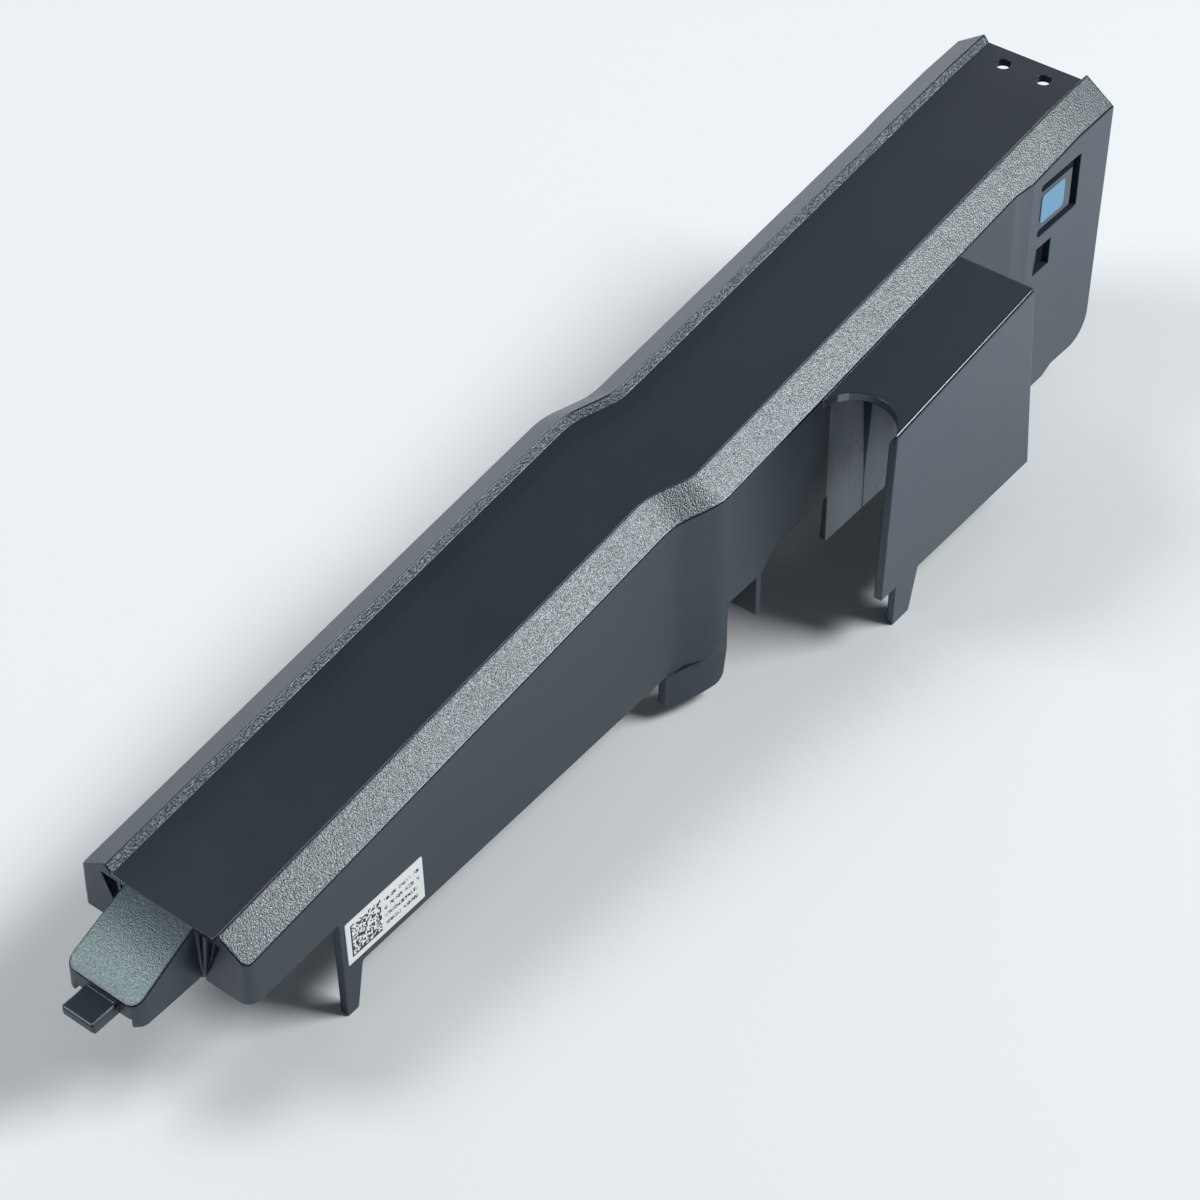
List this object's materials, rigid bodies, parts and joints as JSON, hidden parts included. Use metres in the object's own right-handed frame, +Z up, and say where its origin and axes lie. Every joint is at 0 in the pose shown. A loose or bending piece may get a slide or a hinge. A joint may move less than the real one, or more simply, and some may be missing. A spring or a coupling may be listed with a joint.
{
  "type": "server air baffle shroud",
  "caption": "Long moulded air baffle that covers a board as a rising trough with a sideways jog, a side hood with a cable notch, small legs, and a nose with a tongue.",
  "frame": {"origin": "centre of the bounding box's footprint, at the height of the leg tips", "axes": "+X along the trough from the tongue to the far end, +Y towards the plain side, +Z up from the board"},
  "size_m": [0.3468, 0.0738, 0.0868],
  "materials": {
    "shroud": "black moulded plastic: smooth satin roof, coarse sparkle texture on the sloping edge bands, fine texture on the walls",
    "label": "white printed sticker",
    "touch_mark": "blue printed touch mark"
  },
  "bodies": {
    "root": {"shroud_body": "shroud", "label": "label", "touch_mark": "touch_mark"}
  },
  "joints": []
}
